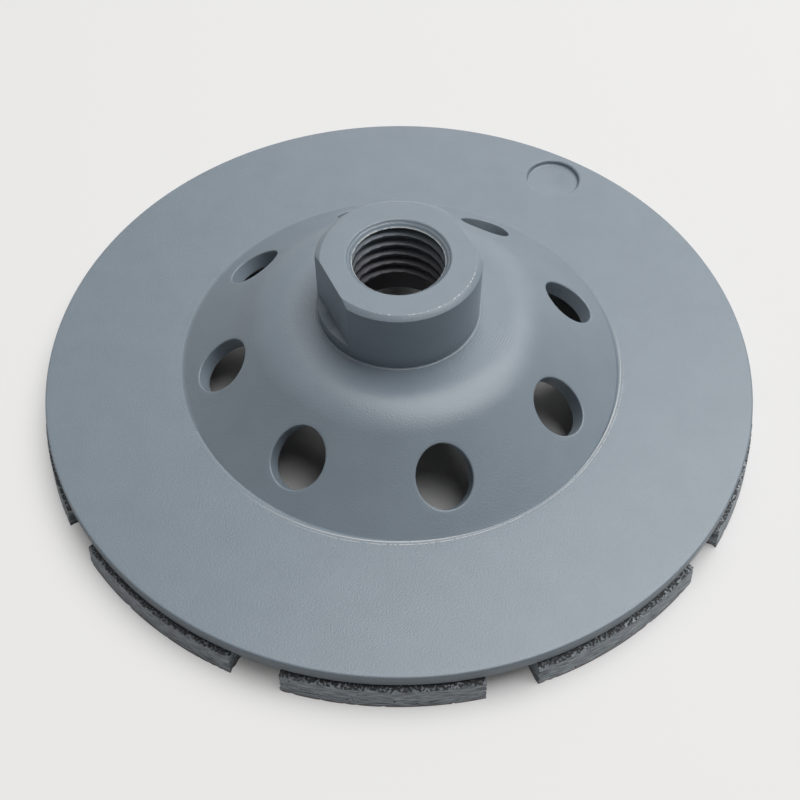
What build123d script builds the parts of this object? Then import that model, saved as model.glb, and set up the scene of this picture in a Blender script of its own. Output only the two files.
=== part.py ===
from build123d import *
import os
from math import cos, radians, sin

# Diamond cup wheel for an angle grinder, 115 mm. A cup pressed from steel sheet carries
# a turned hub with a threaded bore, and ten sintered diamond segments under its rim.
# Millimetres, +Z up. The wheel's axis is Z, and Z = 0 is the segments' working face.

# Diamond segments
wheel_diameter = 115.0
segment_count = 10
segment_height = 4.5
segment_width = 7.0
segment_draft = 0.5
segment_span = 29.2
segment_turn = -92.5

# Threaded hub. An M16 x 2 thread runs in the bore between the countersink and the relief.
thread_diameter = 16.0
thread_pitch = 2.0
countersink_depth = 0.98
relief_clearance = 0.3
relief_depth = 3.6
relief_cone = 0.7
flats_width = 22.0
flats_height = 8.65
flats_turn = 25.2
flat_depth = 1.5
hub_rise = 10.95
hub_chamfer_width = 0.85
hub_chamfer_height = 0.55
hub_shoulder_width = 3.5
hub_shoulder_thickness = 2.0

# Pressed steel cup
sheet_thickness = 2.5
segment_overhang = 1.05
rim_chamfer = 0.35
dome_height = 10.7
crown_land = 4.5
shoulder_radius = 10.0
flank_slope = 36.4
foot_groove_depth = 0.4
foot_groove_width = 0.4

# Punched vent holes, longer down the slope than across it, their outer lips broken
vent_count = 8
vent_foot_land = 3.88
vent_width = 8.4
vent_length = 9.65
vent_turn = -76.7
vent_lip = 0.3

# Balancing spot, drilled into the top of the flange
spot_diameter = 9.4
spot_depth = 0.85
spot_cone_depth = 0.45
spot_rim_land = 1.55
spot_turn = 55.4

# Radii and heights that follow from the sizes above
wheel_radius = wheel_diameter / 2
hub_radius = flats_width / 2 + flat_depth
flange_radius = wheel_radius - segment_overhang
crown_radius = hub_radius + crown_land
flange_under = segment_height
flange_top = flange_under + sheet_thickness
crown_top = flange_top + dome_height
crown_under = crown_top - sheet_thickness
hub_top = crown_top + hub_rise
hub_bottom = crown_under - hub_shoulder_thickness

# The dome's side is a round shoulder, and a straight flank that it touches along its tangent.
# The flank ends in a fine groove at its foot, a little under the top of the flange.
slope_sin = sin(radians(flank_slope))
slope_cos = cos(radians(flank_slope))
shoulder_centre_height = crown_top - shoulder_radius
flank_start_radius = crown_radius + shoulder_radius * slope_sin
flank_start_height = shoulder_centre_height + shoulder_radius * slope_cos
foot_height = flange_top - foot_groove_depth
foot_radius = flank_start_radius + (flank_start_height - foot_height) * slope_cos / slope_sin


def cup_section():
    """Half the cup's section: one sheet thickness from the hub's hole to the rim."""
    shoulder_centre = (crown_radius, shoulder_centre_height)
    flank_start = (flank_start_radius, flank_start_height)
    foot = (foot_radius, foot_height)
    groove_edge = (foot_radius + foot_groove_width, flange_top)
    rim = (flange_radius, flange_top)
    inner_flank_start = (
        flank_start_radius - sheet_thickness * slope_sin,
        flank_start_height - sheet_thickness * slope_cos,
    )
    inner_foot = (
        inner_flank_start[0] + (inner_flank_start[1] - flange_under) * slope_cos / slope_sin,
        flange_under,
    )
    with BuildSketch(Plane.XZ) as section:
        with BuildLine():
            Line((crown_radius, crown_under), (hub_radius, crown_under))
            Line((hub_radius, crown_under), (hub_radius, crown_top))
            Line((hub_radius, crown_top), (crown_radius, crown_top))
            CenterArc(shoulder_centre, shoulder_radius, 90, -flank_slope)
            Polyline(
                flank_start, foot, groove_edge, rim, (flange_radius, flange_under),
                inner_foot, inner_flank_start,
            )
            CenterArc(shoulder_centre, shoulder_radius - sheet_thickness, 90, -flank_slope)
        make_face()
        chamfer(section.vertices().sort_by_distance(rim)[0], rim_chamfer)
    return section.sketch


def outer_lip(cup, vent_plane):
    """The edges of one vent that lie on the cup's outer face, near the vent's own plane."""
    lip = []
    for edge in cup.edges().filter_by(GeomType.BSPLINE):
        place = vent_plane.to_local_coords(edge @ 0.5)
        if abs(place.Z) < sheet_thickness / 4 and Vector(place.X, place.Y).length < vent_length:
            lip.append(edge)
    return lip


def punch_vents(cup):
    """The cup with its ring of vents, each punched square through the flank."""
    up_the_flank = vent_foot_land + vent_length / 2
    vent_plane = Plane(
        origin=(foot_radius - up_the_flank * slope_cos, 0, foot_height + up_the_flank * slope_sin),
        x_dir=(0, 1, 0),
        z_dir=(slope_sin, 0, slope_cos),
    )
    outline = vent_plane.offset(-2 * sheet_thickness) * Ellipse(vent_width / 2, vent_length / 2)
    vent = extrude(outline, 4 * sheet_thickness)
    turns = [Rot(0, 0, vent_turn + index * 360 / vent_count) for index in range(vent_count)]
    for turn in turns:
        cup -= turn * vent
    lips = []
    for turn in turns:
        lips += outer_lip(cup, Plane(turn * vent_plane.location))
    return chamfer(lips, vent_lip)


def balancing_spot():
    """The drilled spot that evens the wheel's weight: a short bore with a shallow point."""
    spot_radius = spot_diameter / 2
    floor = flange_top - spot_depth
    bore = Pos(0, 0, floor) * Cylinder(
        spot_radius, 2 * spot_depth, align=(Align.CENTER, Align.CENTER, Align.MIN)
    )
    point = Pos(0, 0, floor - spot_cone_depth) * Cone(
        0, spot_radius, spot_cone_depth, align=(Align.CENTER, Align.CENTER, Align.MIN)
    )
    distance = flange_radius - spot_rim_land - spot_radius
    return Rot(0, 0, spot_turn) * Pos(distance, 0, 0) * (bore + point)


def make_cup():
    """The cup: its section revolved, then punched and drilled."""
    return punch_vents(revolve(cup_section(), axis=Axis.Z)) - balancing_spot()


def make_hub():
    """The hub: turned all over, seated under the crown by its shoulder, with two flats."""
    thread_depth = 5 / 8 * thread_pitch * sin(radians(60))
    bore_radius = thread_diameter / 2 - thread_depth
    countersink_radius = bore_radius + countersink_depth
    shoulder = hub_radius + hub_shoulder_width
    relief_radius = thread_diameter / 2 + relief_clearance
    thread_bottom = hub_bottom + relief_depth
    section = Plane.XZ * make_face(Polyline(
        (bore_radius, thread_bottom),
        (bore_radius, hub_top - countersink_depth),
        (countersink_radius, hub_top),
        (hub_radius - hub_chamfer_width, hub_top),
        (hub_radius, hub_top - hub_chamfer_height),
        (hub_radius, crown_under),
        (shoulder, crown_under),
        (shoulder, hub_bottom),
        (relief_radius, hub_bottom),
        (relief_radius, thread_bottom - relief_cone),
        close=True,
    ))
    hub = revolve(section, axis=Axis.Z)
    for side in (0, 180):
        cutter = Pos(flats_width / 2, 0, hub_top) * Box(
            2 * hub_radius, 4 * hub_radius, 2 * flats_height,
            align=(Align.MIN, Align.CENTER, Align.CENTER),
        )
        hub -= Rot(0, 0, flats_turn + side) * cutter
    return hub


def make_segment(index):
    """One sintered segment: a stretch of a ring, its outer face leaning in towards the cup."""
    inner_radius = wheel_radius - segment_width
    section = Plane.XZ * make_face(Polyline(
        (inner_radius, 0),
        (wheel_radius, 0),
        (wheel_radius - segment_draft, segment_height),
        (inner_radius, segment_height),
        close=True,
    ))
    ring_piece = revolve(section, axis=Axis.Z, revolution_arc=segment_span)
    start = segment_turn - segment_span / 2 + index * 360 / segment_count
    return Rot(0, 0, start) * ring_piece


os.makedirs("parts", exist_ok=True)
export_step(make_cup(), "parts/pressed_cup.step")
export_step(make_hub(), "parts/threaded_hub.step")
for number in range(segment_count):
    export_step(make_segment(number), f"parts/diamond_segment_{number + 1:02d}.step")
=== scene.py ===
from math import acos, asin, atan2, copysign, cos, exp, hypot, pi, radians, sin, sqrt, tan

import bmesh
import bpy
from mathutils import Euler, Matrix, Vector, noise


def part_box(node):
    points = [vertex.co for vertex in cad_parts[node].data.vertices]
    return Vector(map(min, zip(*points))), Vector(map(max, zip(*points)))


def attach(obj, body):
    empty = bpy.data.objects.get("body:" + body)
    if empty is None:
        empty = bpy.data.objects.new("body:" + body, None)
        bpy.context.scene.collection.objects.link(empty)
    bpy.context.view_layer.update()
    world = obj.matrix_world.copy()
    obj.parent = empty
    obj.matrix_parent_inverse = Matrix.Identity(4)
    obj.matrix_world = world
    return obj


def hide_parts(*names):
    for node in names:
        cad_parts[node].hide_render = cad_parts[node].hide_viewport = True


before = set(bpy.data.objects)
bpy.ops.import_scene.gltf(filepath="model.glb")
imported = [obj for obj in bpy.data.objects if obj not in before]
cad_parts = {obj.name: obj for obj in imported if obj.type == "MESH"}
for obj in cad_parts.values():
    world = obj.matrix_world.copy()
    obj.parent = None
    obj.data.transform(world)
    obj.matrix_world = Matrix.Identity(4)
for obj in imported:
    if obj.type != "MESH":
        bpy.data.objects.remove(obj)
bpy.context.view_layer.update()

# Pressed cup
# One disc of 2.5 mm steel sheet, pressed into a dome with a flat crown and a flat flange.
# Its eight vents are punched, and it is sprayed satin grey after the hub is fixed in it.
MM = 0.001
same_place = 0.01 * MM
cup_low, cup_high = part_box("pressed_cup")
sheet = 2.5 * MM
hub_radius = 12.5 * MM
crown_land = 4.5 * MM
crown_radius = hub_radius + crown_land
crown_top = cup_high.z
rim_radius = cup_high.x
flange_under = cup_low.z
flange_top = flange_under + sheet
rim_round = 0.32 * MM
inner_rim_round = 0.5 * MM

# A bead of the joint with the hub shows through the paint
bead_width = 0.38 * MM
bead_rise = 0.16 * MM

# The dome's side is a round shoulder and a slightly hollow flank. The flank is one large arc,
# which leaves the shoulder along its tangent and ends at the foot, a little below the flange.
shoulder_radius = 10.0 * MM
shoulder_slope = radians(39)
flank_width = 12.05 * MM
foot_depth = 0.4 * MM
shoulder_centre_height = crown_top - shoulder_radius
flank_start = crown_radius + shoulder_radius * sin(shoulder_slope)
flank_start_height = shoulder_centre_height + shoulder_radius * cos(shoulder_slope)
foot_radius = flank_start + flank_width
flank_drop = flank_start_height - flange_top + foot_depth
foot_off_tangent = flank_width * sin(shoulder_slope) - flank_drop * cos(shoulder_slope)
flank_radius = (flank_width**2 + flank_drop**2) / (2 * foot_off_tangent)
flank_centre_radius = flank_start + flank_radius * sin(shoulder_slope)
flank_centre_height = flank_start_height + flank_radius * cos(shoulder_slope)
foot_slope = asin((flank_centre_radius - foot_radius) / flank_radius)

# The vents are ovals, longer down the flank than across it and a little wider at their foot
vent_count = 8
vent_first = radians(-76.7)
vent_ring = 28.33 * MM
vent_width = 8.42 * MM
vent_length = 9.66 * MM
vent_egg = 0.028
vent_lip = 0.24 * MM
vent_inner_lip = 0.15 * MM

# The balancing spot is a short bore with a shallow point, drilled into the flange by the rim
spot_radius = 4.7 * MM
spot_depth = 0.85 * MM
spot_cone_depth = 0.45 * MM
spot_lip = 0.44 * MM
spot_rim_land = 1.55 * MM
spot_turn = radians(55.4)
spot_ring = rim_radius - spot_rim_land - spot_radius

# The flange was faced after pressing, off centre, so the cut is deepest at the front right.
# The tool left a fine wall at the dome's foot and two faint grooves beyond it. The rows are
# distance from the foot and depth below the flange in mm, where the wall is 0.4 mm deep.
facing_turn = radians(-55)
facing_spread = radians(52)
facing_least = 0.02 * MM
facing_most = 0.52 * MM
facing_reach = 3 * MM
foot_cut = (
    (0.0, 0.4), (0.26, 0.03), (0.42, 0.0), (0.58, 0.05), (0.8, 0.0), (1.1, 0.015), (1.4, 0.0),
)


def outer_face(radius):
    """Height and downward slope of the cup's outer face at a distance from the axis."""
    if radius <= hub_radius + bead_width:
        across = min(1.0, (radius - hub_radius) / bead_width)
        return crown_top + bead_rise * sqrt(1 - across**2), 0.0
    if radius <= crown_radius:
        return crown_top, 0.0
    if radius <= flank_start:
        slope = asin((radius - crown_radius) / shoulder_radius)
        return shoulder_centre_height + shoulder_radius * cos(slope), slope
    slope = asin((flank_centre_radius - radius) / flank_radius)
    return flank_centre_height - flank_radius * cos(slope), slope


def facing_depth(turn):
    """How deep the facing cut is at the dome's foot, for a turn round the axis."""
    away = (turn - facing_turn + pi) % (2 * pi) - pi
    return facing_least + (facing_most - facing_least) * exp(-(away / facing_spread)**2)


def faced_height(beyond, depth):
    """Height of the flange at a distance in mm beyond the foot, for the cut's depth at the foot."""
    for (near, near_drop), (far, far_drop) in zip(foot_cut, foot_cut[1:]):
        if beyond <= far:
            drop = near_drop + (far_drop - near_drop) * (beyond - near) / (far - near)
            return flange_top - drop / foot_cut[0][1] * depth
    return flange_top


def ring_radii():
    """Distances of the blank's rings of vertices from the axis, close where it will bend."""
    bead_rows, crown_rows, shoulder_rows, flank_rows, flange_rows = 5, 5, 14, 22, 20
    radii = [hub_radius + bead_width * sin(pi / 2 * row / bead_rows) for row in range(bead_rows)]
    crown_start = hub_radius + bead_width
    for row in range(crown_rows):
        radii.append(crown_start + (crown_radius - crown_start) * row / crown_rows)
    for row in range(shoulder_rows):
        radii.append(crown_radius + shoulder_radius * sin(shoulder_slope * row / shoulder_rows))
    for row in range(flank_rows):
        radii.append(flank_start + flank_width * row / flank_rows)
    radii += [foot_radius + beyond * MM for beyond, drop in foot_cut]
    flange_start = radii[-1]
    for row in range(1, flange_rows + 1):
        radii.append(flange_start + (rim_radius - flange_start) * row / flange_rows)
    return radii


def polar_place(co, turn, ring):
    """A blank vertex seen from a hole's centre: across the hole, and outwards from the axis."""
    angle = (atan2(co.y, co.x) - turn + pi) % (2 * pi) - pi
    return angle * ring, hypot(co.x, co.y) - ring


def extrude_loop(bm, loop):
    """Extrudes a loop of edges on the spot, and gives the new vertices and the new loop."""
    made = bmesh.ops.extrude_edge_only(bm, edges=loop)["geom"]
    verts = [item for item in made if isinstance(item, bmesh.types.BMVert)]
    edges = [item for item in made if isinstance(item, bmesh.types.BMEdge) and item.is_boundary]
    return verts, edges


def open_hole(bm, faces, turn, ring, half_width, half_length, outline, shares):
    """Cuts a hole in the flat blank: a patch comes out, and its border shrinks to the outline.

    The shares are how far towards the outline each new ring of faces reaches. Each vertex goes
    there from its own place on the patch's border."""
    patch = []
    for face in faces:
        across, along = polar_place(face.calc_center_median(), turn, ring)
        if abs(across) < half_width and abs(along) < half_length:
            patch.append(face)
    inside = set(patch)
    loop = []
    for face in patch:
        loop += [edge for edge in face.edges if any(f not in inside for f in edge.link_faces)]
    bmesh.ops.delete(bm, geom=patch, context="FACES")
    starts = {vert: vert.co.copy() for edge in loop for vert in edge.verts}
    for share in shares:
        verts, loop = extrude_loop(bm, loop)
        new_starts = {}
        for vert in verts:
            old = next(v for e in vert.link_edges for v in e.verts if v is not vert and v in starts)
            start = starts[old]
            across, along = polar_place(start, turn, ring)
            target = Matrix.Rotation(turn, 3, "Z") @ outline(across, along)
            new_starts[vert] = start
            vert.co = start.lerp(target, share)
        starts = new_starts
    return loop


def vent_outline(across, along):
    """The point of a vent's outline in the direction of a place on the blank.

    The punch is square to the flank at the vent's middle. The lift is how far the flank curves
    away from the punch's plane, which moves the outline outwards or inwards."""
    slope = outer_face(vent_ring)[1]
    angle = atan2(along / cos(slope) / vent_length, across / vent_width)
    side = vent_width / 2 * cos(angle) * (1 + vent_egg * sin(angle))
    down = vent_length / 2 * sin(angle)
    lift = down**2 / (2 * flank_radius) - side**2 * sin(slope) / (2 * vent_ring)
    return Vector((vent_ring + down * cos(slope) + lift * sin(slope), side, 0))


def spot_outline(across, along):
    """The point of the balancing spot's circle in the direction of a place on the blank."""
    angle = atan2(along, across)
    return Vector((spot_ring + spot_radius * sin(angle), spot_radius * cos(angle), 0))


blank_steps = 288
cup_mesh = bmesh.new()
first_row = [cup_mesh.verts.new((radius, 0, 0)) for radius in ring_radii()]
row_edges = [cup_mesh.edges.new(pair) for pair in zip(first_row, first_row[1:])]
bmesh.ops.spin(
    cup_mesh, geom=first_row + row_edges, cent=(0, 0, 0), axis=(0, 0, 1), dvec=(0, 0, 0),
    angle=2 * pi, steps=blank_steps, use_merge=True, use_duplicate=False,
)
bmesh.ops.recalc_face_normals(cup_mesh, faces=cup_mesh.faces)
cup_mesh.faces.ensure_lookup_table()
if cup_mesh.faces[0].normal.z < 0:
    bmesh.ops.reverse_faces(cup_mesh, faces=cup_mesh.faces)
for index in range(vent_count):
    open_hole(
        cup_mesh, cup_mesh.faces, vent_first + index * 2 * pi / vent_count, vent_ring,
        half_width=6 * MM, half_length=5.6 * MM, outline=vent_outline, shares=(0.3, 0.55, 0.74, 1.0),
    )

# The underside is a copy of the blank
outer_count = len(cup_mesh.faces)
blank = cup_mesh.verts[:] + cup_mesh.edges[:] + cup_mesh.faces[:]
under = bmesh.ops.duplicate(cup_mesh, geom=blank)["geom"]
under_verts = {item for item in under if isinstance(item, bmesh.types.BMVert)}
under_faces = [item for item in under if isinstance(item, bmesh.types.BMFace)]
bmesh.ops.reverse_faces(cup_mesh, faces=under_faces)
# The underside gets the second material, which is painted shade
for face in under_faces:
    face.material_index = 1

# The spot opens the upper face alone
spot_loop = open_hole(
    cup_mesh, cup_mesh.faces[:outer_count], spot_turn, spot_ring,
    half_width=5.9 * MM, half_length=5.4 * MM, outline=spot_outline, shares=(0.25, 1.0),
)

# The blank takes the cup's form: outer face and facing cut above, one sheet thickness lower
# below. Where the cut is deeper or shallower, it meets the flank further out or further in.
for vert in cup_mesh.verts:
    radius = hypot(vert.co.x, vert.co.y)
    height, slope = outer_face(radius)
    on_flange = radius > foot_radius - same_place
    if vert in under_verts:
        if on_flange:
            height, slope = flange_top, 0.0
        moved = radius - sheet * sin(slope)
        height = max(min(height, crown_top) - sheet * cos(slope), flange_under)
    else:
        depth = facing_depth(atan2(vert.co.y, vert.co.x))
        near_foot = max(0.0, 1 - abs(radius - foot_radius) / facing_reach)
        moved = radius + near_foot * (depth - foot_depth) / tan(foot_slope)
        if on_flange:
            height = faced_height((radius - foot_radius) / MM, depth)
        else:
            height = outer_face(moved)[0]
    vert.co.x *= moved / radius
    vert.co.y *= moved / radius
    vert.co.z = height

# Walls close the sheet at the hub's hole, the rim and the vents
openings = {}
for edge in cup_mesh.edges:
    if edge.is_boundary and edge not in spot_loop:
        place = (edge.verts[0].co + edge.verts[1].co) / 2
        radius = hypot(place.x, place.y)
        kind = "hub" if radius < crown_radius else "rim" if radius > spot_ring else "vent"
        vent = round((atan2(place.y, place.x) - vent_first) / (2 * pi / vent_count)) % vent_count
        openings.setdefault((kind, vent if kind == "vent" else 0), []).append(edge)
lips = {"hub": [], "rim": [], "vent": []}
for (kind, number), edges in openings.items():
    lips[kind] += edges
    bmesh.ops.bridge_loops(cup_mesh, edges=edges)


def break_edges(bm, edges, width, rows):
    """Rounds edges to about a radius, with as many rows of faces across the round."""
    bmesh.ops.bevel(
        bm, geom=edges, offset=width, offset_type="OFFSET", segments=rows, profile=0.5,
        affect="EDGES", material=-1, clamp_overlap=True,
    )


outer_vent_lips = [edge for edge in lips["vent"] if edge.verts[0] not in under_verts]
inner_vent_lips = [edge for edge in lips["vent"] if edge.verts[0] in under_verts]
outer_rim = [edge for edge in lips["rim"] if edge.verts[0] not in under_verts]
inner_rim = [edge for edge in lips["rim"] if edge.verts[0] in under_verts]
break_edges(cup_mesh, outer_vent_lips, vent_lip, 4)
break_edges(cup_mesh, inner_vent_lips, vent_inner_lip, 2)
break_edges(cup_mesh, outer_rim, rim_round, 4)
break_edges(cup_mesh, inner_rim, inner_rim_round, 4)

# The spot's wall, the round at its foot, and its cone, which steepens to a point. The rows are
# the share of the radius that each ring has, and how far it lies below the last one.
spot_steps = (
    (1.0, 0.72 * spot_depth), (0.97, 0.2 * spot_depth), (0.92, 0.08 * spot_depth),
    (0.65, 0.1 * spot_cone_depth), (0.35, 0.25 * spot_cone_depth),
)
spot_point_drop = 0.65 * spot_cone_depth
spot_centre = Matrix.Rotation(spot_turn, 3, "Z") @ Vector((spot_ring, 0, 0))
loop = spot_loop
for share, drop in spot_steps:
    ring, loop = extrude_loop(cup_mesh, loop)
    reach = max(hypot(vert.co.x - spot_centre.x, vert.co.y - spot_centre.y) for vert in ring)
    for vert in ring:
        across = (vert.co - spot_centre) * share * spot_radius / reach
        vert.co.x = spot_centre.x + across.x
        vert.co.y = spot_centre.y + across.y
        vert.co.z -= drop
spot_floor = bmesh.ops.contextual_create(cup_mesh, geom=loop)["faces"]
bmesh.ops.poke(cup_mesh, faces=spot_floor, offset=-spot_point_drop)
break_edges(cup_mesh, spot_loop, spot_lip, 6)
bmesh.ops.recalc_face_normals(cup_mesh, faces=cup_mesh.faces)


def add_object(name, bm, sharp_from):
    """Puts a finished mesh in the scene, smooth shaded, with edges sharp from an angle up."""
    data = bpy.data.meshes.new(name)
    bm.to_mesh(data)
    bm.free()
    data.shade_smooth()
    data.set_sharp_from_angle(angle=sharp_from)
    added = bpy.data.objects.new(name, data)
    bpy.context.collection.objects.link(added)
    return added


cup = add_object("pressed_cup_painted", cup_mesh, sharp_from=radians(40))
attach(cup, "root")
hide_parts("pressed_cup")


def colour(code):
    """A colour written as sRGB hex, turned to the linear values that a shader takes."""
    parts = [int(code[start:start + 2], 16) / 255 for start in (1, 3, 5)]
    return tuple([c / 12.92 if c <= 0.04045 else ((c + 0.055) / 1.055) ** 2.4 for c in parts] + [1.0])


def add_node(tree, kind, properties, inputs):
    """Adds a shader node with its properties, and its inputs as values or as linked sockets.

    Inputs go by name or number. A colour Mix has its factor at 0, its colours at 6 and 7 and
    its result at 2. A MapRange has its value at 0, and the ends of its ranges from 1 to 4."""
    made = tree.nodes.new("ShaderNode" + kind)
    for name, value in properties.items():
        setattr(made, name, value)
    for name, value in inputs.items():
        if isinstance(value, bpy.types.NodeSocket):
            tree.links.new(value, made.inputs[name])
        else:
            made.inputs[name].default_value = value
    return made


# Satin grey enamel, sprayed over cup and hub. It gives a soft sheen with a fine orange peel,
# a slightly cloudy colour, turning marks that show through, and bare flecks on the hub's edge.
peel_grain = 0.27 * MM
peel_depth = 0.04 * MM
cloud_size = 5 * MM
paint = bpy.data.materials.new("satin_grey_spray_enamel")
paint.use_nodes = True
tree = paint.node_tree
place = add_node(tree, "TexCoord", {}, {}).outputs["Object"]
axes = add_node(tree, "SeparateXYZ", {}, {0: place})
flat_place = add_node(tree, "CombineXYZ", {}, {0: axes.outputs["X"], 1: axes.outputs["Y"]})
flat_length = add_node(tree, "VectorMath", {"operation": "LENGTH"}, {0: flat_place.outputs[0]})
from_axis = flat_length.outputs["Value"]
peel = add_node(tree, "TexNoise", {}, {"Vector": place, "Scale": 1 / peel_grain, "Detail": 1.5})
cloud = add_node(tree, "TexNoise", {}, {"Vector": place, "Scale": 1 / cloud_size, "Detail": 3.0})
cloudy = add_node(tree, "Mix", {"data_type": "RGBA"}, {
    0: add_node(tree, "MapRange", {}, {0: cloud.outputs[0], 1: 0.3, 2: 0.7}).outputs[0],
    6: colour("#79858f"), 7: colour("#7d8993"),
})

# Painted shade darkens the upright edge of the rim
rim_shade_from = rim_radius - 0.12 * MM
rim_shade_full = rim_radius - 0.02 * MM
rim_edge_shade = add_node(tree, "MapRange", {}, {0: from_axis, 1: rim_shade_from, 2: rim_shade_full, 4: 0.55})
painted = add_node(tree, "Mix", {"data_type": "RGBA"}, {
    0: rim_edge_shade.outputs[0], 6: cloudy.outputs[2], 7: colour("#5c666e"),
}).outputs[2]

# Turning marks: fine rings round the axis, in the countersink and on the crown's front right,
# where they fade at their ends. At a scale of 1, the rings of a wave lie 2 pi / 20 m apart.
marks_centre = (14.6 * MM, -7.0 * MM, crown_top)
marks_reach = 6.5 * MM
marks_height = 3 * MM
ring_spacing = 0.42 * MM
countersink_marks_end = 8.1 * MM
countersink_marks_full = 7.8 * MM
rings = add_node(tree, "TexWave", {"wave_type": "RINGS", "rings_direction": "Z"}, {
    "Vector": place, "Scale": 2 * pi / 20 / ring_spacing, "Distortion": 1.2, "Detail": 2.0,
    "Detail Scale": 0.6,
})
near_marks = add_node(tree, "Mapping", {"vector_type": "TEXTURE"}, {
    "Vector": place, "Location": marks_centre, "Scale": (marks_reach, marks_reach, marks_height),
})
marks_patch = add_node(tree, "TexGradient", {"gradient_type": "SPHERICAL"}, {0: near_marks.outputs[0]})
in_countersink = add_node(tree, "MapRange", {}, {
    0: from_axis, 1: countersink_marks_end, 2: countersink_marks_full,
})
marked = add_node(tree, "Math", {"operation": "MAXIMUM"}, {
    0: marks_patch.outputs["Fac"], 1: in_countersink.outputs[0],
})
marks = add_node(tree, "Math", {"operation": "MULTIPLY"}, {
    0: rings.outputs["Fac"], 1: marked.outputs[0],
})

# Bare steel where the paint is knocked or rubbed off: flecks on the hub's upper edge. The same
# pale colour is a burr at the mouth of the bore, worn bare and with a painted highlight on it,
# and two fine lines at the dome's foot, painted highlights on the ridges that the facing tool
# left. Each has its radius, height and reach, the noise that speckles it, and the share of the
# turn where it starts and is full, as the cosine of the angle from the front right.
hub_low, hub_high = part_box("threaded_hub")
hub_top = hub_high.z
hub_edge_radius = 11.65 * MM
marked_side = radians(-62)
speckle_size = 0.5 * MM
mark_core = 0.03 * MM
worn_and_highlit_edges = (
    (hub_edge_radius, hub_top, 0.11 * MM, 0.5, 0.6, 0.8),
    (6.95 * MM, hub_top - 0.95 * MM, 0.16 * MM, 0.4, -1.2, -1.1),
    (foot_radius + 0.34 * MM, flange_top, 0.13 * MM, 0.3, 0.3, 0.9),
    (foot_radius + 0.8 * MM, flange_top, 0.09 * MM, 0.38, 0.5, 0.95),
)
speckle_noise = add_node(tree, "TexNoise", {}, {"Vector": place, "Scale": 1 / speckle_size, "Detail": 3.0})
towards_marks = add_node(tree, "VectorMath", {"operation": "DOT_PRODUCT"}, {
    0: flat_place.outputs[0], 1: (cos(marked_side), sin(marked_side), 0),
})
side = add_node(tree, "Math", {"operation": "DIVIDE"}, {
    0: towards_marks.outputs["Value"], 1: from_axis,
})
for edge_radius, edge_height, reach, speckle_from, side_from, side_full in worn_and_highlit_edges:
    off_radius = add_node(tree, "Math", {"operation": "SUBTRACT"}, {0: from_axis, 1: edge_radius})
    off_height = add_node(tree, "Math", {"operation": "SUBTRACT"}, {0: axes.outputs["Z"], 1: edge_height})
    from_edge = add_node(tree, "CombineXYZ", {}, {0: off_radius.outputs[0], 1: off_height.outputs[0]})
    distance = add_node(tree, "VectorMath", {"operation": "LENGTH"}, {0: from_edge.outputs[0]})
    on_edge = add_node(tree, "MapRange", {}, {0: distance.outputs["Value"], 1: reach, 2: mark_core})
    speckled = add_node(tree, "MapRange", {}, {0: speckle_noise.outputs[0], 1: speckle_from, 2: speckle_from + 0.1})
    on_side = add_node(tree, "MapRange", {}, {0: side.outputs[0], 1: side_from, 2: side_full})
    speckled_side = add_node(tree, "Math", {"operation": "MULTIPLY"}, {
        0: speckled.outputs[0], 1: on_side.outputs[0],
    })
    wear_and_highlight = add_node(tree, "Math", {"operation": "MULTIPLY"}, {
        0: on_edge.outputs[0], 1: speckled_side.outputs[0],
    })
    # Mixes in the pale colour: wear on the hub's edge, and painted highlights on the burr and foot lines
    painted = add_node(tree, "Mix", {"data_type": "RGBA"}, {
        0: wear_and_highlight.outputs[0], 6: painted, 7: colour("#c6c8c6"),
    }).outputs[2]
relief = add_node(tree, "Math", {"operation": "ADD"}, {0: peel.outputs[0], 1: marks.outputs[0]})
bump = add_node(tree, "Bump", {}, {
    "Strength": 0.9, "Distance": peel_depth, "Height": relief.outputs[0],
})
shader = tree.nodes["Principled BSDF"]
shader.inputs["Roughness"].default_value = 0.36
shader.inputs["Specular IOR Level"].default_value = 0.6
tree.links.new(painted, shader.inputs["Base Color"])
tree.links.new(bump.outputs[0], shader.inputs["Normal"])
cup.data.materials.append(paint)

# Painted shade on the cup's underside: dark and brownish, with a dull mottled sheen. It
# darkens what shows through the vents and down the bore.
mottle_size = 1.5 * MM
skin_grain = 0.3 * MM
underside_shade = bpy.data.materials.new("dark_underside_painted_shade")
underside_shade.use_nodes = True
tree = underside_shade.node_tree
place = add_node(tree, "TexCoord", {}, {}).outputs["Object"]
mottle = add_node(tree, "TexNoise", {}, {"Vector": place, "Scale": 1 / mottle_size, "Detail": 4.0})
mottled = add_node(tree, "Mix", {"data_type": "RGBA"}, {
    0: add_node(tree, "MapRange", {}, {0: mottle.outputs[0], 1: 0.35, 2: 0.65}).outputs[0],
    6: colour("#262321"), 7: colour("#322e2b"),
})
skin = add_node(tree, "TexNoise", {}, {"Vector": place, "Scale": 1 / skin_grain, "Detail": 2.0})
bump = add_node(tree, "Bump", {}, {"Strength": 0.5, "Distance": 0.02 * MM, "Height": skin.outputs[0]})
shader = tree.nodes["Principled BSDF"]
shader.inputs["Roughness"].default_value = 0.5
tree.links.new(mottled.outputs[2], shader.inputs["Base Color"])
tree.links.new(bump.outputs[0], shader.inputs["Normal"])
cup.data.materials.append(underside_shade)
flat_shading = cup.modifiers.new("flat_faces_stay_flat", "WEIGHTED_NORMAL")
flat_shading.keep_sharp = True

# Threaded hub
# Turned from steel bar, with an M16 x 2 thread down its bore and two flats for a 22 mm
# spanner. It stands in the cup's hole on a shoulder, and is painted with the cup.
hub_chamfer_width = hub_radius - hub_edge_radius
hub_chamfer_height = 0.55 * MM
worn_edge_round = 0.1 * MM
mouth_round = 0.08 * MM
shoulder_reach = hub_high.x
seat_height = crown_top - sheet

# The flats end in a ledge. The turned blank has two rows of vertices there, a step apart.
flat_reach = 11.0 * MM
flat_turn = radians(25.2)
ledge_height = hub_top - 8.65 * MM
ledge_step = 0.001 * MM

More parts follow.
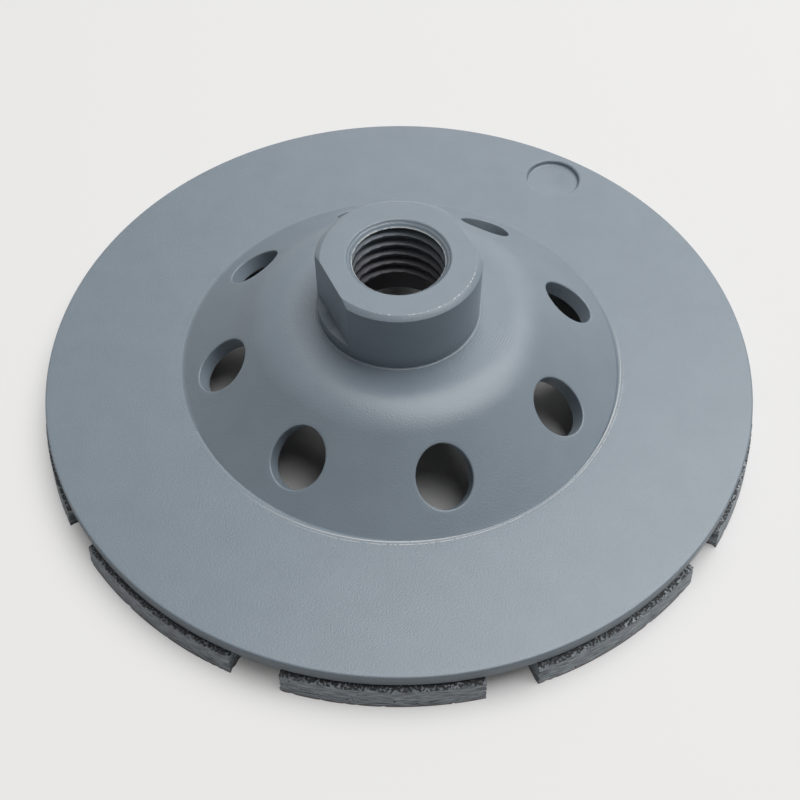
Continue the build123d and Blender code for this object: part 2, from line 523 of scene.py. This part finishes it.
# The thread's crest and flank are shares of its pitch, and it runs in below the countersink
thread_pitch = 2.0 * MM
thread_major = 8.0 * MM
thread_depth = 0.625 * thread_pitch * sin(radians(60))
thread_minor = thread_major - thread_depth
thread_phase = 7.34 * MM
thread_half_crest = 1 / 8
thread_flank = 5 / 16
thread_run_in = 0.45 * MM
countersink = 0.98 * MM
relief_radius = thread_major + 0.3 * MM
relief_cone = 0.7 * MM
thread_bottom = hub_low.z + 3.6 * MM
thread_top = hub_top - countersink

bore_rows = 120
bore_step = (thread_top - thread_bottom) / bore_rows
hub_profile = [(thread_minor, thread_bottom + bore_step * row) for row in range(bore_rows + 1)]
hub_profile += [
    (thread_minor + countersink, hub_top),
    (hub_edge_radius, hub_top),
    (hub_radius, hub_top - hub_chamfer_height),
    (hub_radius, ledge_height + ledge_step),
    (hub_radius, ledge_height),
    (hub_radius, seat_height),
    (shoulder_reach, seat_height),
    (shoulder_reach, hub_low.z),
    (relief_radius, hub_low.z),
    (relief_radius, thread_bottom - relief_cone),
]
hub_steps = 192
hub_mesh = bmesh.new()
column = [hub_mesh.verts.new((radius, 0, height)) for radius, height in hub_profile]
column_edges = [hub_mesh.edges.new(pair) for pair in zip(column, column[1:] + column[:1])]
bmesh.ops.spin(
    hub_mesh, geom=column + column_edges, cent=(0, 0, 0), axis=(0, 0, 1), dvec=(0, 0, 0),
    angle=2 * pi, steps=hub_steps, use_merge=True, use_duplicate=False,
)


def thread_reach(height, turn):
    """How deep the thread is cut at a place on the bore: 0 on a crest and 1 at the root."""
    turns_up = (height - thread_phase) / thread_pitch - turn / (2 * pi)
    from_crest = abs(turns_up - round(turns_up))
    down_flank = (from_crest - thread_half_crest) / thread_flank
    below_mouth = (thread_top - height) / thread_run_in
    return max(0.0, min(1.0, down_flank)) * max(0.0, min(1.0, below_mouth))


# The turned blank takes its thread and flats. Where a flat meets the turned side or the
# chamfer, the nearest vertices move onto the corner. The chamfer's height follows its radius.
corner_turns = [acos(flat_reach / radius) for radius in (hub_radius, hub_edge_radius)]
half_step = pi / hub_steps
for vert in hub_mesh.verts:
    radius = hypot(vert.co.x, vert.co.y)
    turn = atan2(vert.co.y, vert.co.x)
    from_flat = (turn - flat_turn + pi / 2) % pi - pi / 2
    for corner in corner_turns:
        if abs(abs(from_flat) - corner) < half_step:
            turn += copysign(corner, from_flat) - from_flat
            from_flat = copysign(corner, from_flat)
            break
    if abs(radius - thread_minor) < same_place:
        radius += thread_depth * thread_reach(vert.co.z, turn)
    elif vert.co.z > ledge_height + ledge_step / 2:
        radius = min(radius, flat_reach / cos(from_flat))
        if vert.co.z > hub_top - hub_chamfer_height - same_place:
            into_chamfer = max(0.0, radius - hub_edge_radius) / hub_chamfer_width
            vert.co.z = hub_top - hub_chamfer_height * into_chamfer
    vert.co.x = radius * cos(turn)
    vert.co.y = radius * sin(turn)
bmesh.ops.remove_doubles(hub_mesh, verts=hub_mesh.verts, dist=4 * ledge_step)
bmesh.ops.recalc_face_normals(hub_mesh, faces=hub_mesh.faces)
worn_edges = []
for edge in hub_mesh.edges:
    place = (edge.verts[0].co + edge.verts[1].co) / 2
    on_outside = hypot(place.x, place.y) > relief_radius and place.z > crown_top
    if on_outside and edge.calc_face_angle(0.0) > radians(20):
        worn_edges.append(edge)
break_edges(hub_mesh, worn_edges, worn_edge_round, 2)
mouth = []
for edge in hub_mesh.edges:
    level = all(abs(vert.co.z - hub_top) < ledge_step for vert in edge.verts)
    if level and hypot(edge.verts[0].co.x, edge.verts[0].co.y) < relief_radius:
        mouth.append(edge)
break_edges(hub_mesh, mouth, mouth_round, 2)
for face in hub_mesh.faces:
    place = face.calc_center_median()
    in_bore = hypot(place.x, place.y) < relief_radius + same_place and place.z < thread_top
    if in_bore or place.z < seat_height:
        face.material_index = 1

# Turned steel in the bore: cool grey above, and darker and browner towards the bottom, with
# fine tool lines round it
tool_line = 0.12 * MM
tool_line_stretch = 0.08
upper_tone_from = hub_top - 7 * MM
upper_tone_full = hub_top - 1.5 * MM
thread_steel = bpy.data.materials.new("turned_steel_darker_below")
thread_steel.use_nodes = True
tree = thread_steel.node_tree
place = add_node(tree, "TexCoord", {}, {}).outputs["Object"]
height = add_node(tree, "SeparateXYZ", {}, {0: place}).outputs["Z"]
upper_tone = add_node(tree, "MapRange", {}, {0: height, 1: upper_tone_from, 2: upper_tone_full})
bore_toned = add_node(tree, "Mix", {"data_type": "RGBA"}, {
    0: upper_tone.outputs[0], 6: colour("#44444a"), 7: colour("#616a72"),
})
lines = add_node(tree, "Mapping", {}, {
    "Vector": place, "Scale": (tool_line_stretch, tool_line_stretch, 1.0),
})
tool_lines = add_node(tree, "TexNoise", {}, {
    "Vector": lines.outputs[0], "Scale": 1 / tool_line, "Detail": 2.0,
})
bump = add_node(tree, "Bump", {}, {
    "Strength": 0.5, "Distance": 0.02 * MM, "Height": tool_lines.outputs[0],
})
shader = tree.nodes["Principled BSDF"]
shader.inputs["Roughness"].default_value = 0.4
shader.inputs["Metallic"].default_value = 0.3
tree.links.new(bore_toned.outputs[2], shader.inputs["Base Color"])
tree.links.new(bump.outputs[0], shader.inputs["Normal"])

hub = add_object("threaded_hub_painted", hub_mesh, sharp_from=radians(35))
hub.data.materials.append(paint)
hub.data.materials.append(thread_steel)
flat_shading = hub.modifiers.new("flat_faces_stay_flat", "WEIGHTED_NORMAL")
flat_shading.keep_sharp = True
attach(hub, "root")
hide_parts("threaded_hub")

# Diamond segments
# Ten bars of sintered metal bond with diamond grit, pressed and fired in a mould, then
# ground on the outside and brazed under the rim. Only a haze of the paint reaches them.
segment_count = 10
segment_span = radians(29.2)
segment_first = radians(-92.5)
segment_low, segment_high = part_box("diamond_segment_01")
wheel_radius = -segment_low.y
segment_height = segment_high.z
segment_width = 7.0 * MM
segment_draft = 0.5 * MM

# The upper edge is cut back to a ledge that holds the braze, and the skin is rough. The lower
# edge is chipped, and the ends are worn over a share of the segment's length.
ledge_start = 3.95 * MM
ledge_run = 0.17 * MM
ledge_back = 1.5 * MM
lump_size = 0.7 * MM
lump_depth = 0.15 * MM
chip_size = 0.9 * MM
chip_depth = 0.35 * MM
chip_height = 0.4 * MM
worn_share = 0.03
worn_depth = 0.9 * MM

# Sintered bond under a thin coat of overspray: a dull grey skin with fine lines along the mould,
# dark pits where grit fell out, bright flecks near the braze, painted shade in the crevice under
# the rim, and a rusty foot.
streak_size = 0.22 * MM
streak_stretch = 0.12
pit_size = 0.55 * MM
fleck_size = 0.4 * MM
flecks_from = 3.3 * MM
flecks_full = 3.5 * MM
crevice_shade_from = 3.88 * MM
crevice_shade_full = 4.0 * MM
crevice_shade_noise = 1.1 * MM
rust_from = 0.45 * MM
rust_full = 0.05 * MM
bond = bpy.data.materials.new("sintered_metal_bond")
bond.use_nodes = True
tree = bond.node_tree
place = add_node(tree, "TexCoord", {}, {}).outputs["Object"]
height = add_node(tree, "SeparateXYZ", {}, {0: place}).outputs["Z"]
level_place = add_node(tree, "Mapping", {}, {
    "Vector": place, "Scale": (streak_stretch, streak_stretch, 1.0),
})
streak = add_node(tree, "TexNoise", {}, {
    "Vector": level_place.outputs[0], "Scale": 1 / streak_size, "Detail": 3.0,
})
streaked = add_node(tree, "Mix", {"data_type": "RGBA"}, {
    0: add_node(tree, "MapRange", {}, {0: streak.outputs[0], 1: 0.3, 2: 0.7}).outputs[0],
    6: colour("#474e54"), 7: colour("#b4bcc3"),
})
pit_noise = add_node(tree, "TexNoise", {}, {"Vector": place, "Scale": 1 / pit_size, "Detail": 2.0})
pits = add_node(tree, "MapRange", {}, {0: pit_noise.outputs[0], 1: 0.66, 2: 0.72})
pitted = add_node(tree, "Mix", {"data_type": "RGBA"}, {
    0: pits.outputs[0], 6: streaked.outputs[2], 7: colour("#23282c"),
})
fleck_noise = add_node(tree, "TexNoise", {}, {"Vector": place, "Scale": 1 / fleck_size, "Detail": 1.0})
flecks = add_node(tree, "MapRange", {}, {0: fleck_noise.outputs[0], 1: 0.64, 2: 0.72})
near_braze = add_node(tree, "MapRange", {}, {0: height, 1: flecks_from, 2: flecks_full})
braze_flecks = add_node(tree, "Math", {"operation": "MULTIPLY"}, {
    0: flecks.outputs[0], 1: near_braze.outputs[0],
})
flecked = add_node(tree, "Mix", {"data_type": "RGBA"}, {
    0: braze_flecks.outputs[0], 6: pitted.outputs[2], 7: colour("#939a9f"),
})
# Painted shade: the top of each segment, in the crevice under the rim, is darkened with a ragged edge
crevice_shade_height = add_node(tree, "Math", {"operation": "MULTIPLY_ADD"}, {
    0: fleck_noise.outputs[0], 1: crevice_shade_noise, 2: height,
})
crevice_shade = add_node(tree, "MapRange", {}, {
    0: crevice_shade_height.outputs[0], 1: crevice_shade_from + crevice_shade_noise / 2, 2: crevice_shade_full + crevice_shade_noise / 2,
})
crevice_shaded = add_node(tree, "Mix", {"data_type": "RGBA"}, {
    0: crevice_shade.outputs[0], 6: flecked.outputs[2], 7: colour("#1e2124"),
})
near_floor = add_node(tree, "MapRange", {}, {0: height, 1: rust_from, 2: rust_full})
rusty = add_node(tree, "Mix", {"data_type": "RGBA"}, {
    0: near_floor.outputs[0], 6: crevice_shaded.outputs[2], 7: colour("#6d5a50"),
})
relief = add_node(tree, "Math", {"operation": "SUBTRACT"}, {0: streak.outputs[0], 1: pits.outputs[0]})
bump = add_node(tree, "Bump", {}, {"Strength": 0.6, "Distance": 0.05 * MM, "Height": relief.outputs[0]})
shader = tree.nodes["Principled BSDF"]
shader.inputs["Roughness"].default_value = 0.65
tree.links.new(rusty.outputs[2], shader.inputs["Base Color"])
tree.links.new(bump.outputs[0], shader.inputs["Normal"])

cuts_along, cuts_across, cuts_up = 95, 9, 15
for number in range(segment_count):
    segment_mesh = bmesh.new()
    bmesh.ops.create_cube(segment_mesh, size=1.0)
    for axis, cuts in enumerate((cuts_along, cuts_across, cuts_up)):
        long_edges = [
            edge for edge in segment_mesh.edges
            if abs(edge.verts[0].co[axis] - edge.verts[1].co[axis]) > 0.5
        ]
        bmesh.ops.subdivide_edges(segment_mesh, edges=long_edges, cuts=cuts, use_grid_fill=True)
    middle = segment_first + number * 2 * pi / segment_count
    for vert in segment_mesh.verts:
        along = vert.co.x
        outwards = vert.co.y + 0.5
        up = 1 - (0.5 - vert.co.z) ** 1.5
        height = segment_height * up
        turn = middle + along * segment_span
        radius = wheel_radius - segment_width * (1 - outwards)
        spot = Vector((radius * cos(turn), radius * sin(turn), height))
        rough = noise.noise(spot / lump_size)
        ragged = max(0.0, noise.noise(spot / lump_size + Vector((7, 7, 7))) + 0.1)
        ledge = max(0.0, min(1.0, (height - ledge_start) / ledge_run))
        chip = max(0.0, noise.noise(spot / chip_size) - 0.2) * max(0.0, 1 - height / chip_height)
        cut_back = segment_draft * up + ledge_back * ledge * (0.9 + 0.2 * rough)
        cut_back += lump_depth * ragged * up**3 + chip_depth * chip
        radius -= cut_back * outwards
        near_end = max(0.0, abs(along) - 0.5 + worn_share) / worn_share
        end_wear = worn_depth * near_end * (0.35 + 0.5 * ragged)
        turn -= copysign(end_wear / wheel_radius, along) * outwards
        vert.co = (radius * cos(turn), radius * sin(turn), height)
    bmesh.ops.recalc_face_normals(segment_mesh, faces=segment_mesh.faces)
    node = f"diamond_segment_{number + 1:02d}"
    segment = add_object(node + "_fired", segment_mesh, sharp_from=radians(40))
    segment.data.materials.append(bond)
    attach(segment, "root")
    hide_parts(node)

# Floor, light and camera
# A pale table under a broad soft light from above and behind, seen from the photo's place.
floor_half_width = 3.0
floor_mesh = bmesh.new()
bmesh.ops.create_grid(floor_mesh, x_segments=1, y_segments=1, size=floor_half_width)
table = add_object("floor", floor_mesh, sharp_from=radians(40))

# Matt white board. The camera sees it lifted towards white away from the wheel, as when a
# pale table is overexposed, and the tight shadow next to the wheel stays.
lift_from = wheel_radius - 5 * MM
lift_full = wheel_radius + 5 * MM
table_paint = bpy.data.materials.new("matt_white_board")
table_paint.use_nodes = True
tree = table_paint.node_tree
board = tree.nodes["Principled BSDF"]
board.inputs["Base Color"].default_value = colour("#e8e8e8")
board.inputs["Roughness"].default_value = 0.9
place = add_node(tree, "TexCoord", {}, {}).outputs["Object"]
from_wheel = add_node(tree, "VectorMath", {"operation": "LENGTH"}, {0: place})
away = add_node(tree, "MapRange", {"interpolation_type": "SMOOTHSTEP"}, {
    0: from_wheel.outputs["Value"], 1: lift_from, 2: lift_full, 3: 0.0, 4: 0.78,
})
ray = add_node(tree, "LightPath", {}, {})
lift = add_node(tree, "Math", {"operation": "MULTIPLY"}, {
    0: away.outputs[0], 1: ray.outputs["Is Camera Ray"],
})
overexposed = add_node(tree, "Emission", {}, {"Color": colour("#eeedec"), "Strength": 1.0})
lifted = add_node(tree, "MixShader", {}, {
    0: lift.outputs[0], 1: board.outputs[0], 2: overexposed.outputs[0],
})
tree.links.new(lifted.outputs[0], tree.nodes["Material Output"].inputs["Surface"])
table.data.materials.append(table_paint)

# The room is dim for diffuse light, and pale where it is seen directly or in a sheen
world = bpy.data.worlds.new("dim_room_with_pale_walls")
bpy.context.scene.world = world
world.use_nodes = True
tree = world.node_tree
dim_room = tree.nodes["Background"]
dim_room.inputs["Color"].default_value = (1, 1, 1, 1)
dim_room.inputs["Strength"].default_value = 0.04
pale_walls = add_node(tree, "Background", {}, {"Color": colour("#e8e8e8"), "Strength": 1.0})
ray = add_node(tree, "LightPath", {}, {})
direct = add_node(tree, "Math", {"operation": "MAXIMUM"}, {
    0: ray.outputs["Is Camera Ray"], 1: ray.outputs["Is Glossy Ray"],
})
seen = add_node(tree, "Math", {"operation": "MAXIMUM"}, {
    0: direct.outputs[0], 1: ray.outputs["Is Transmission Ray"],
})
room = add_node(tree, "MixShader", {}, {
    0: seen.outputs[0], 1: dim_room.outputs[0], 2: pale_walls.outputs[0],
})
tree.links.new(room.outputs[0], tree.nodes["World Output"].inputs["Surface"])


def softbox(name, tilt, turn, distance, size, energy):
    """A square lamp aimed at the wheel: tilt from overhead and turn from +X in degrees."""
    data = bpy.data.lights.new(name, "AREA")
    data.shape = "SQUARE"
    data.size = size
    data.energy = energy
    lamp = bpy.data.objects.new(name, data)
    lean, turn = radians(tilt), radians(turn)
    lamp.location = distance * Vector((sin(lean) * cos(turn), sin(lean) * sin(turn), cos(lean)))
    lamp.rotation_euler = (-lamp.location).to_track_quat("-Z", "Y").to_euler()
    bpy.context.collection.objects.link(lamp)


softbox("softbox", tilt=20, turn=22, distance=0.55, size=0.48, energy=3.08)
softbox("bright_wall", tilt=57, turn=72, distance=0.9, size=0.8, energy=1.9)

# The camera was fitted to the rings of the wheel. It stands before the wheel and looks down on
# it, tilted up from straight down, with a slight roll and turn. Its lens is in millimetres.
camera_place = Vector((0, -118.709 * MM, 148.747 * MM))
camera_tilt = radians(37.459)
camera_roll = radians(0.114)
camera_turn = radians(-0.215)
camera_data = bpy.data.cameras.new("camera")
camera_data.sensor_width = 36
camera_data.lens = 51.253
camera_data.clip_start = 5 * MM
camera = bpy.data.objects.new("camera", camera_data)
camera_turns = Euler((camera_tilt, camera_roll, camera_turn))
camera.matrix_world = Matrix.LocRotScale(camera_place, camera_turns, None)
bpy.context.collection.objects.link(camera)
bpy.context.scene.camera = camera
bpy.context.scene.view_settings.view_transform = "Standard"
